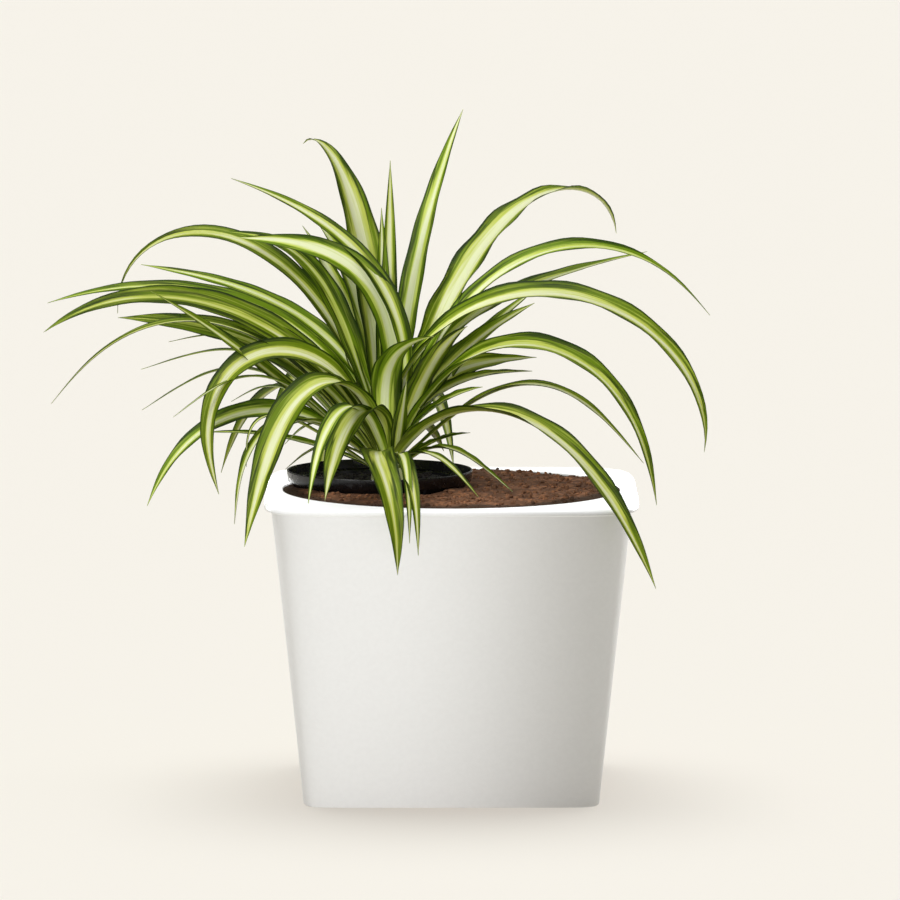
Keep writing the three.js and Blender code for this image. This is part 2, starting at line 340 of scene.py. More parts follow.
def ramp(tree: Tree, value: Value, low: float, high: float, to_low: float = 0.0,
         to_high: float = 1.0) -> Socket:
    """A smooth step from one value to another.

    Args:
        tree: The material's node tree.
        value: What the step follows.
        low: Where the step starts.
        high: Where it ends.
        to_low: The result at its start and before.
        to_high: The result at its end and beyond.

    Returns:
        The result's socket.
    """
    node = add_node(
        tree, "ShaderNodeMapRange",
        {"Value": value, "From Min": low, "From Max": high, "To Min": to_low, "To Max": to_high},
        interpolation_type="SMOOTHSTEP",
    )
    return node.outputs["Result"]


def noise(tree: Tree, place: Socket, scale: float, detail: float) -> Socket:
    """Noise from 0 to 1 over these coordinates."""
    inputs = {"Vector": place, "Scale": scale, "Detail": detail}
    return add_node(tree, "ShaderNodeTexNoise", inputs).outputs["Fac"]


def grain(tree: Tree, place: Socket, size: float, detail: float = 3.0) -> Socket:
    """Noise on Object coordinates, with features of a real size in millimetres."""
    return noise(tree, place, 1 / (size * MM), detail)


def bump(tree: Tree, shader: bpy.types.Node, height: Socket, strength: float, depth: float) -> None:
    """Dents a material's surface.

    Args:
        tree: The material's node tree.
        shader: Its shader.
        height: The pattern of the dents.
        strength: How strongly they show, from 0 to 1.
        depth: How deep they are.
    """
    inputs = {"Height": height, "Strength": strength, "Distance": depth * MM}
    dents = add_node(tree, "ShaderNodeBump", inputs)
    tree.links.new(dents.outputs["Normal"], shader.inputs["Normal"])


def new_material(name: str) -> tuple[bpy.types.Material, Tree, bpy.types.Node]:
    """A material with one Principled shader.

    Args:
        name: The material's name.

    Returns:
        The material, its node tree and its shader.
    """
    material = bpy.data.materials.new(name)
    material.use_nodes = True
    tree = material.node_tree
    return material, tree, tree.nodes["Principled BSDF"]


@dataclass(frozen=True)
class MouldedResin:
    """Off-white moulded resin with a satin skin, as planters of this kind are made.

    The mould leaves a very faint orange-peel and an even colour; it gives broad, soft highlights.
    """

    colour: str = "#F1F2F2"
    shade: str = "#EFF0F0"
    roughness: float = 0.46
    mottle: float = 3.0  # width of one patch of the faint mottling
    peel: float = 2.2  # width of one dimple of the skin
    depth: float = 0.02  # depth of a dimple

    def material(self) -> bpy.types.Material:
        """Builds the material.

        Returns:
            The material.
        """
        material, tree, shader = new_material("moulded_resin_off_white")
        place = add_node(tree, "ShaderNodeTexCoord").outputs["Object"]
        cloud = ramp(tree, grain(tree, place, self.mottle), 0.3, 0.7)
        tree.links.new(mixed(tree, cloud, self.colour, self.shade), shader.inputs["Base Color"])
        bump(tree, shader, grain(tree, place, self.peel, detail=2.0), strength=0.35, depth=self.depth)
        shader.inputs["Roughness"].default_value = self.roughness
        return material


@dataclass(frozen=True)
class BlownPolypropylene:
    """Thin black thermoformed polypropylene, as nursery pots are, with a gloss skin and fine scuffs."""

    colour: str = "#08080A"
    scuff: str = "#1C1C20"
    roughness: float = 0.24
    scuff_size: float = 5.0
    wear: float = 0.2  # how much rougher a scuff is

    def material(self) -> bpy.types.Material:
        """Builds the material.

        Returns:
            The material.
        """
        material, tree, shader = new_material("black_polypropylene_gloss")
        place = add_node(tree, "ShaderNodeTexCoord").outputs["Object"]
        marks = ramp(tree, grain(tree, place, self.scuff_size, detail=6.0), 0.52, 0.72)
        tree.links.new(mixed(tree, marks, self.colour, self.scuff), shader.inputs["Base Color"])
        worn = ramp(tree, marks, 0.0, 1.0, self.roughness, self.roughness + self.wear)
        tree.links.new(worn, shader.inputs["Roughness"])
        return material


@dataclass(frozen=True)
class PottingSoil:
    """Loose peaty soil: matt crumbs, pale where dry on top and dark where damp between them."""

    name: str
    dry: str
    damp: str
    crumb: float = 3.0  # size of one crumb
    ring: float = 0.0  # from this far off the planter's axis the soil is darkened with painted shade from the planter's wall; 0 for nowhere
    painted_shade: str = "#35220F"
    relief: float = 0.6  # height of the finest crumbs
    roughness: float = 0.92

    def material(self) -> bpy.types.Material:
        """Builds the material.

        Returns:
            The material.
        """
        material, tree, shader = new_material(self.name)
        place = add_node(tree, "ShaderNodeTexCoord").outputs["Object"]
        patch = ramp(tree, grain(tree, place, 4 * self.crumb, detail=4.0), 0.35, 0.65)
        speck = ramp(tree, grain(tree, place, self.crumb, detail=5.0), 0.40, 0.62)
        colour = mixed(tree, speck, self.damp, mixed(tree, patch, self.damp, self.dry))
        # painted shade: the soil darkens toward the planter's wall, where the wall shades it
        if self.ring:
            flat = add_node(tree, "ShaderNodeVectorMath", {0: place, 1: (1, 1, 0)}, operation="MULTIPLY")
            length = add_node(tree, "ShaderNodeVectorMath", {0: flat.outputs[0]}, operation="LENGTH")
            inner, outer = (self.ring - 6) * MM, (self.ring + 2) * MM
            shade = ramp(tree, length.outputs["Value"], inner, outer, 0.0, 0.9)
            colour = mixed(tree, shade, colour, self.painted_shade)
        tree.links.new(colour, shader.inputs["Base Color"])
        bump(tree, shader, grain(tree, place, self.crumb / 2, detail=6.0), strength=0.8, depth=self.relief)
        shader.inputs["Roughness"].default_value = self.roughness
        return material


@dataclass(frozen=True)
class VariegatedLeaf:
    """Waxy leaf tissue with green margins and a cream stripe along the middle.

    The colour lies in fine streaks that run with the parallel veins, so the stripe's edge is
    feathered. The points carry "rib" (across in mm, along in mm, tone) and "mark" (across from -1
    to 1, along from 0 to 1, half width of the stripe).
    """

    cream: str = "#D5DAB0"
    lime: str = "#B3BE52"
    green: str = "#5E7608"
    deep: str = "#152700"
    heel: str = "#B4C24E"
    roughness: float = 0.52
    gloss: float = 0.14  # strength of the wax's reflection
    glow: float = 0.12  # share of the light that passes through the tissue
    soak: Point = (1.2, 1.6, 0.4)  # how far red, green and blue light travel in it
    streak: float = 1.1  # width of one streak
    streak_length: float = 60.0
    feather: float = 0.15  # how far streaks move the stripe's edge, as a share of the half width
    vein: float = 0.25  # depth of the furrows between veins

    def streaks(self, tree: Tree, rib: Socket, width: float, apart: float) -> Socket:
        """Noise drawn out along the blade.

        Args:
            tree: The material's node tree.
            rib: The "rib" attribute's socket.
            width: Width of one streak.
            apart: Shifts the pattern, so that no two layers agree.

        Returns:
            The noise's socket.
        """
        stretch = add_node(
            tree, "ShaderNodeMapping",
            {"Vector": rib, "Location": (apart, 0, 0), "Scale": (1 / width, 1 / self.streak_length, 40.0)},
        )
        return noise(tree, stretch.outputs["Vector"], scale=1.0, detail=3.0)

    def material(self) -> bpy.types.Material:
        """Builds the material.

        Returns:
            The material.
        """
        material, tree, shader = new_material("variegated_leaf")
        rib = add_node(tree, "ShaderNodeAttribute", attribute_name="rib").outputs["Vector"]
        mark = add_node(
            tree, "ShaderNodeSeparateXYZ",
            {0: add_node(tree, "ShaderNodeAttribute", attribute_name="mark").outputs["Vector"]},
        )
        tone = add_node(tree, "ShaderNodeSeparateXYZ", {0: rib}).outputs["Z"]
        across = maths(tree, "ABSOLUTE", mark.outputs["X"])
        along, stripe = mark.outputs["Y"], mark.outputs["Z"]

        broad = self.streaks(tree, rib, width=2.4 * self.streak, apart=3.0)
        fine = self.streaks(tree, rib, width=1.1 * self.streak, apart=17.0)
        shift = ramp(tree, broad, 0.28, 0.72, -self.feather, self.feather)
        beyond = maths(tree, "SUBTRACT", maths(tree, "ADD", across, shift), stripe)

        # the stripe: cream in its middle, lime toward its edge and in fine streaks
        colour = mixed(tree, ramp(tree, beyond, -0.30, 0.02), self.cream, self.lime)
        colour = mixed(tree, ramp(tree, fine, 0.52, 0.74, 0.0, 0.55), colour, self.lime)
        # the margins: green, with lime streaks and deep green bands, and darkest at the very edge
        margin = mixed(tree, ramp(tree, fine, 0.48, 0.70, 0.0, 0.50), self.green, self.lime)
        margin = mixed(tree, ramp(tree, broad, 0.38, 0.58, 0.85, 0.0), margin, self.deep)
        colour = mixed(tree, ramp(tree, beyond, 0.0, 0.16), colour, margin)
        colour = mixed(tree, ramp(tree, across, 0.80, 0.97, 0.0, 0.92), colour, self.deep)
        # the heel is paler, each leaf has a tone of its own, and painted light brightens each leaf toward
        # its root, where it lies in the plant's shaded heart
        colour = mixed(tree, ramp(tree, along, 0.0, 0.14, 0.35, 0.0), colour, self.heel)
        own = ramp(tree, tone, 0.0, 1.0, 0.86, 1.06)
        tone_and_painted_light = maths(tree, "MULTIPLY", own, ramp(tree, along, 0.0, 0.55, 1.50, 0.98))
        varied = add_node(
            tree, "ShaderNodeHueSaturation",
            {"Color": colour, "Hue": ramp(tree, tone, 0.0, 1.0, 0.492, 0.506), "Value": tone_and_painted_light},
        )
        tree.links.new(varied.outputs["Color"], shader.inputs["Base Color"])
        bump(tree, shader, fine, strength=0.5, depth=self.vein)
        shader.inputs["Roughness"].default_value = self.roughness
        shader.inputs["Specular IOR Level"].default_value = self.gloss
        shader.inputs["Subsurface Weight"].default_value = self.glow
        shader.inputs["Subsurface Radius"].default_value = tuple(part * MM for part in self.soak)
        shader.inputs["Subsurface Scale"].default_value = 1.0
        return material


# ---- planter


@dataclass
class Planter:
    """The square tapered planter with a thin band round its rim and a round mouth."""

    height: float = 204.0
    rim_half: float = 126.0
    lip_height: float = 4.5
    body_top_half: float = 121.5
    base_half: float = 99.7
    rim_squareness: float = 7.0  # superellipse exponents of the plan outline: 2 is a circle
    base_squareness: float = 14.0
    mouth_r: float = 115.0
    well_r: float = 113.0
    well_z: float = 188.0
    floor_r: float = 88.0
    floor_z: float = 8.0
    around: int = 384

    def outline(self) -> tuple[np.ndarray, int]:
        """The profile from the middle of the base, up the outside and down to the middle of the floor.

        Returns:
            The (across, height) points between the two poles, and how many of them are outside.
        """
        lip_z = self.height - self.lip_height
        outside = rounded([
            (0, 0, 0), (self.base_half, 0, 1.0), (self.body_top_half, lip_z, 0.6),
            (self.rim_half, lip_z, 1.2), (self.rim_half, self.height, 3.2),
            (self.mouth_r + 6, self.height, 0),  # both parts end on the rim's flat top
        ])[1:]
        inside = rounded([
            (self.mouth_r + 4, self.height, 0), (self.mouth_r, self.height, 1.2),
            (self.well_r, self.well_z, 3.0), (self.floor_r, self.floor_z, 3.0), (0, self.floor_z, 0),
        ])[:-1]
        return np.vstack([outside, inside]), len(outside)

    def build(self, finish: MouldedResin) -> Item:
        """Turns the profile, with its outside pushed out from a circle to a superellipse.

        The superellipse is squarer at the base than at the rim, evenly along the height.

        Args:
            finish: The planter's finish.

        Returns:
            The planter, which replaces its solid.
        """
        outline, outside = self.outline()
        way = circle(self.around)
        change = self.rim_squareness - self.base_squareness
        n = self.base_squareness + change * outline[:, 1:] / self.height
        square = (np.abs(way[:, 0]) ** n + np.abs(way[:, 1]) ** n) ** (-1 / n)
        factor = np.where(np.arange(len(outline))[:, None] < outside, square, 1.0)
        rings = turned(outline[:, :1] * factor, outline[:, 1:], way)
        skin = closed_skin(rings, np.zeros(3), np.array([0, 0, self.floor_z]))
        piece = skin.mesh_object("planter_shell", finish.material(), sharp=40)
        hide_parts("planter")
        return piece


# ---- nursery pot


@dataclass
class NurseryPot:
    """The thin round pot that the plant was raised in, with a lip and drainage holes."""

    x: float = -49.0
    y: float = 16.0
    top_z: float = 215.0
    height: float = 112.0
    lip_r: float = 63.5
    lip_height: float = 8.0
    neck_r: float = 58.4
    foot_r: float = 44.0
    wall: float = 1.3  # thickness
    floor: float = 1.9  # thickness
    holes: int = 6
    hole_r: float = 5.0
    hole_ring: float = 27.0  # distance of the holes' middles from the pot's axis
    hole_around: int = 24
    around: int = 160

    @property
    def foot_z(self) -> float:
        """Height of the pot's underside."""
        return self.top_z - self.height

    @property
    def lip_z(self) -> float:
        """Height of the lip's lower edge."""
        return self.top_z - self.lip_height

    @property
    def floor_z(self) -> float:
        """Height of the floor's upper side."""
        return self.foot_z + self.floor

    def build(self, finish: BlownPolypropylene) -> Item:
        """Turns the wall's profile and cuts the drainage holes.

        Args:
            finish: The pot's finish.

        Returns:
            The pot, which replaces its solid.
        """
        outline = rounded([
            (0, self.foot_z, 0), (self.foot_r, self.foot_z, 1.5), (self.neck_r, self.lip_z, 0.4),
            (self.lip_r - 1, self.lip_z + 0.4, 0.5), (self.lip_r, self.top_z, 0.6),
            (self.lip_r - self.wall, self.top_z, 0.5), (self.lip_r - 1 - self.wall, self.lip_z + 1.8, 0.4),
            (self.neck_r - self.wall, self.lip_z + self.wall - 0.2, 0.6),
            (self.foot_r - self.wall, self.floor_z, 1.2), (0, self.floor_z, 0),
        ], steps=3)[1:-1]
        rings = turned(outline[:, :1], outline[:, 1:], circle(self.around)) + (self.x, self.y, 0)
        low, high = (np.array([self.x, self.y, z]) for z in (self.foot_z, self.floor_z))
        piece = closed_skin(rings, low, high).mesh_object("nursery_pot_shell", finish.material(), sharp=45)
        self.cut_holes(piece)
        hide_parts("nursery_pot")
        return piece

    def cut_holes(self, piece: Item) -> None:
        """Cuts the ring of drainage holes through the pot's floor.

        Args:
            piece: The pot.
        """
        low, high = self.foot_z - 4, self.foot_z + 6  # well past both sides of the floor
        pegs = []
        for toward in circle(self.holes):
            middle = np.array([self.x, self.y]) + self.hole_ring * toward
            edge = middle + self.hole_r * circle(self.hole_around)
            rings = np.concatenate([level(edge, low), level(edge, high)])
            pegs.append(closed_skin(rings, np.array([*middle, low]), np.array([*middle, high])))
        cutter = joined(pegs).mesh_object("hole_cutter", None, sharp=50)
        cut = piece.modifiers.new("drainage", "BOOLEAN")
        cut.operation = "DIFFERENCE"
        cut.object = cutter
        cut.solver = "EXACT"
        view = bpy.context.evaluated_depsgraph_get()
        mesh = bpy.data.meshes.new_from_object(piece.evaluated_get(view))
        piece.modifiers.clear()
        piece.data = mesh
        bpy.data.objects.remove(cutter)


# ---- soil and crumbs


@dataclass
class Crumbs:
    """Loose crumbs scattered over a bed: small lumps, each a dented icosahedron."""

    count: int
    smallest: float
    largest: float
    seed: int
    dent: float = 0.28  # how far a corner moves in or out, as a share of the radius
    least_stretch: float = 0.7  # each lump is stretched along each axis by this
    more_stretch: float = 0.6  # and by up to this much more
    flatness: float = 0.8  # height that a lump keeps when it is flattened
    lift: float = 0.12  # how far its middle stands above the bed, as a share of its size

    def lump(self) -> tuple[np.ndarray, np.ndarray]:
        """An icosahedron of radius 1.

        Returns:
            Its twelve corners, and its twenty faces as corner numbers.
        """
        g = (1 + math.sqrt(5)) / 2
        corners = np.array([
            (-1, g, 0), (1, g, 0), (-1, -g, 0), (1, -g, 0), (0, -1, g), (0, 1, g),
            (0, -1, -g), (0, 1, -g), (g, 0, -1), (g, 0, 1), (-g, 0, -1), (-g, 0, 1),
        ], float) / math.hypot(1, g)
        faces = np.array([
            (0, 11, 5), (0, 5, 1), (0, 1, 7), (0, 7, 10), (0, 10, 11), (1, 5, 9), (5, 11, 4), (11, 10, 2),
            (10, 7, 6), (7, 1, 8), (3, 9, 4), (3, 4, 2), (3, 2, 6), (3, 6, 8), (3, 8, 9), (4, 9, 5),
            (2, 4, 11), (6, 2, 10), (8, 6, 7), (9, 8, 1),
        ])
        return corners, faces

    def scatter(self, places: np.ndarray) -> Skin:
        """Puts a dented, flattened and turned lump at each place, its middle a little above it.

        Args:
            places: Where the lumps lie, shaped (count, 3).

        Returns:
            All lumps as one skin.
        """
        draw = np.random.default_rng(self.seed)
        count = len(places)
        corners, faces = self.lump()
        size = self.smallest + (self.largest - self.smallest) * draw.random(count) ** 2.5  # most are small
        dents = 1 + self.dent * (draw.random((count, 12, 1)) - 0.5) * 2
        stretch = self.least_stretch + self.more_stretch * draw.random((count, 1, 3))
        turn = draw.random(count) * 2 * math.pi
        local = corners[None] * dents * stretch * (size / 2)[:, None, None]
        x = local[..., 0] * np.cos(turn)[:, None] - local[..., 1] * np.sin(turn)[:, None]
        y = local[..., 0] * np.sin(turn)[:, None] + local[..., 1] * np.cos(turn)[:, None]
        lumps = np.stack([x, y, local[..., 2] * self.flatness], -1) + places[:, None]
        lumps[..., 2] += (size * self.lift)[:, None]
        every = (faces[None] + 12 * np.arange(count)[:, None, None]).reshape(-1, 3)
        return Skin(lumps.reshape(-1, 3), every.tolist())

    def strewn(self, reach: float, count: int) -> tuple[np.ndarray, np.ndarray]:
        """Random places, evenly spread over a disc.

        Args:
            reach: The disc's radius.
            count: Number of places.

        Returns:
            Their x and y, from the disc's middle.
        """
        draw = np.random.default_rng(self.seed + 100)  # apart from the draws for the lumps' shapes
        spread = reach * np.sqrt(draw.random(count))
        turn = 2 * math.pi * draw.random(count)
        return spread * np.cos(turn), spread * np.sin(turn)


@dataclass
class SoilBed:
    """The planter's soil: level with the rim, a little higher round the nursery pot let into it."""

    planter: Planter
    pot: NurseryPot
    edge_z: float = 202.6
    top_z: float = 205.0
    slope: float = 22.0  # width of the rise from edge_z to top_z
    around: int = 300
    across: int = 64
    lumps: float = 1.1  # height of the surface's lumps
    lump_size: float = 16.0
    wall_band: float = 6.0  # by the wall the lumps are lower, so that none rides over the rim
    least_lumps: float = 0.25  # what is left of their height at the wall itself
    wall_clear: float = 4.0  # how far crumbs keep from the planter's wall
    lip_clear: float = 2.0  # and from the nursery pot's lip

    def surface_z(self, x: np.ndarray, y: np.ndarray) -> np.ndarray:
        """Height of the soil: it rises from the planter's wall ever less steeply, with lumps on top.

        Args:
            x: Places on the bed, first coordinate.
            y: Their second coordinate.

        Returns:
            Its height at each place.
        """
        from_wall = self.planter.mouth_r - np.hypot(x, y)
        inward = np.clip(from_wall / self.slope, 0, 1)
        rise = inward * (2 - inward)
        calm = np.clip(from_wall / self.wall_band, self.least_lumps, 1)
        lumps = self.lumps * calm * rough(x, y, self.lump_size, 3)
        return self.edge_z + (self.top_z - self.edge_z) * rise + lumps

    def build(self, finish: PottingSoil) -> Item:
        """A ruled surface from the nursery pot's neck to the planter's wall, closed below.

        Args:
            finish: The soil's finish.

        Returns:
            The bed, which replaces its solid.
        """
        way = circle(self.around)
        middle = np.array([self.pot.x, self.pot.y])
        inner = middle + (self.pot.neck_r + GAP) * way
        outer = (self.planter.mouth_r - EDGE_GAP) * way
        share = np.linspace(0, 1, self.across)[:, None, None]
        top = (1 - share) * inner + share * outer
        top = np.dstack([top, self.surface_z(top[..., 0], top[..., 1])])
        foot_z, floor_z = self.pot.foot_z - GAP, self.planter.floor_z + GAP
        rings = np.concatenate([
            level((self.planter.floor_r - GAP) * way, floor_z),
            level((self.planter.well_r - GAP) * way, self.planter.well_z),
            top[::-1],
            level(middle + (self.pot.foot_r + GAP) * way, foot_z),
        ])
        skin = closed_skin(rings, np.array([0, 0, floor_z]), np.array([*middle, foot_z]))
        piece = skin.mesh_object("soil_surface", finish.material(), sharp=70)
        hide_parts("soil_bed")
        return piece

    def build_crumbs(self, finish: PottingSoil, crumbs: Crumbs) -> Item:
        """Scatters crumbs over the soil, clear of the nursery pot and the planter's wall.

        Four times as many places are drawn as are needed, and those on the pot are dropped.

        Args:
            finish: The soil's finish.
            crumbs: How many and how large.

        Returns:
            The crumbs, as one piece.
        """
        x, y = crumbs.strewn(self.planter.mouth_r - self.wall_clear, 4 * crumbs.count)
        free = np.hypot(x - self.pot.x, y - self.pot.y) > self.pot.lip_r + self.lip_clear
        x, y = x[free][:crumbs.count], y[free][:crumbs.count]
        skin = crumbs.scatter(np.column_stack([x, y, self.surface_z(x, y)]))
        piece = skin.mesh_object("soil_crumbs", finish.material(), sharp=60)
        return piece


@dataclass
class PottingMix:
    """The dark mix in the nursery pot."""

    pot: NurseryPot
    z: float = 207.0
    drop: float = 1.5  # how much lower it lies by the wall
    around: int = 200
    across: int = 40
    lumps: float = 0.9
    lump_size: float = 11.0
    wall_band: float = 8.0  # width of the lower band by the wall
    wall_clear: float = 2.0  # how far crumbs keep from the wall

    @property
    def reach(self) -> float:
        """Radius of the mix at its surface."""
        return self.pot.neck_r - self.pot.wall - EDGE_GAP

    def surface_z(self, x: np.ndarray, y: np.ndarray) -> np.ndarray:
        """Height of the mix: nearly level, a little lower by the wall, with lumps."""
        inward = np.clip((self.reach - np.hypot(x - self.pot.x, y - self.pot.y)) / self.wall_band, 0, 1)
        return self.z - self.drop * (1 - inward) + self.lumps * rough(x, y, self.lump_size, 31)

    def build(self, finish: PottingSoil) -> Item:
        """A disc of soil on a tapered body.

        Args:
            finish: The mix's finish.

        Returns:
            The mix, which replaces its solid.
        """
        way = circle(self.around)
        middle = np.array([self.pot.x, self.pot.y])
        reach = np.linspace(self.reach, self.reach / self.across, self.across)
        flat = middle + reach[:, None, None] * way
        top = np.dstack([flat, self.surface_z(flat[..., 0], flat[..., 1])])
        floor_z = self.pot.floor_z + GAP
        foot = middle + (self.pot.foot_r - self.pot.wall - GAP) * way
        crown_z = float(self.surface_z(middle[:1], middle[1:])[0])
        rings = np.concatenate([level(foot, floor_z), top])
        skin = closed_skin(rings, np.array([*middle, floor_z]), np.array([*middle, crown_z]))
        piece = skin.mesh_object("mix_surface", finish.material(), sharp=70)
        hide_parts("potting_mix")
        return piece

    def build_crumbs(self, finish: PottingSoil, crumbs: Crumbs) -> Item:
        """Scatters crumbs over the mix.

        Args:
            finish: The mix's finish.
            crumbs: How many and how large.

        Returns:
            The crumbs, as one piece.
        """
        x, y = crumbs.strewn(self.reach - self.wall_clear, crumbs.count)
        x, y = self.pot.x + x, self.pot.y + y
        skin = crumbs.scatter(np.column_stack([x, y, self.surface_z(x, y)]))
        piece = skin.mesh_object("mix_crumbs", finish.material(), sharp=60)
        return piece


# ---- plant


@dataclass(frozen=True)
class Leaf:
    """One leaf: where it leaves the stock, how it bends, its size, and its stripe.

    bearing is 0 towards +X and 90 towards +Y. The rise goes from rise_root to rise_tip along an
    S-curve that is half done at knee; snap is how sudden it is. turn adds to the bearing along the
    blade, and roll turns it about its midrib. stripe is the cream stripe's share of the half width.
    """

    bearing: float
    out: float
    high: float
    rise_root: float
    rise_tip: float
    knee: float
    snap: float
    length: float
    width: float
    turn: float
    roll: float
    stripe: float
    ripple: float = 0.05  # wave of the margins, per half width

    def rise(self, s: np.ndarray) -> np.ndarray:
        """The midrib's rise above the horizontal.

        Args:
            s: Shares of the length.

        Returns:
            The rise at each, in radians.
        """
        done = s ** self.snap
        left = (self.knee * (1 - s) / (1 - self.knee)) ** self.snap
        return np.radians(self.rise_root + (self.rise_tip - self.rise_root) * done / (done + left))

    def heading(self, s: np.ndarray) -> np.ndarray:
        """The midrib's bearing at each share of the length, in radians."""
        return np.radians(self.bearing + self.turn * s ** 1.5)

    def midrib(self, crown: np.ndarray, steps: int) -> np.ndarray:
        """Points along the midrib: the sum of short steps along its direction.

        Args:
            crown: Where the stock leaves the potting mix.
            steps: Number of steps.

        Returns:
            steps + 1 points.
        """
        s = (np.arange(steps) + 0.5) / steps
        rise, heading = self.rise(s), self.heading(s)
        ahead = np.stack([np.cos(heading) * np.cos(rise), np.sin(heading) * np.cos(rise), np.sin(rise)], -1)
        start = math.radians(self.bearing)
        root = crown + np.array([self.out * math.cos(start), self.out * math.sin(start), self.high])
        return np.vstack([root, root + np.cumsum(ahead, 0) * self.length / steps])


class Side(Enum):
    """Which way a group of leaves grows."""

    HEART = "upright leaves of the heart"
    LEFT = "leaves that arch to the left"
    FRONT = "leaves that hang over the front"
    RIGHT = "leaves that arch to the right"
    BACK = "leaves at the back"


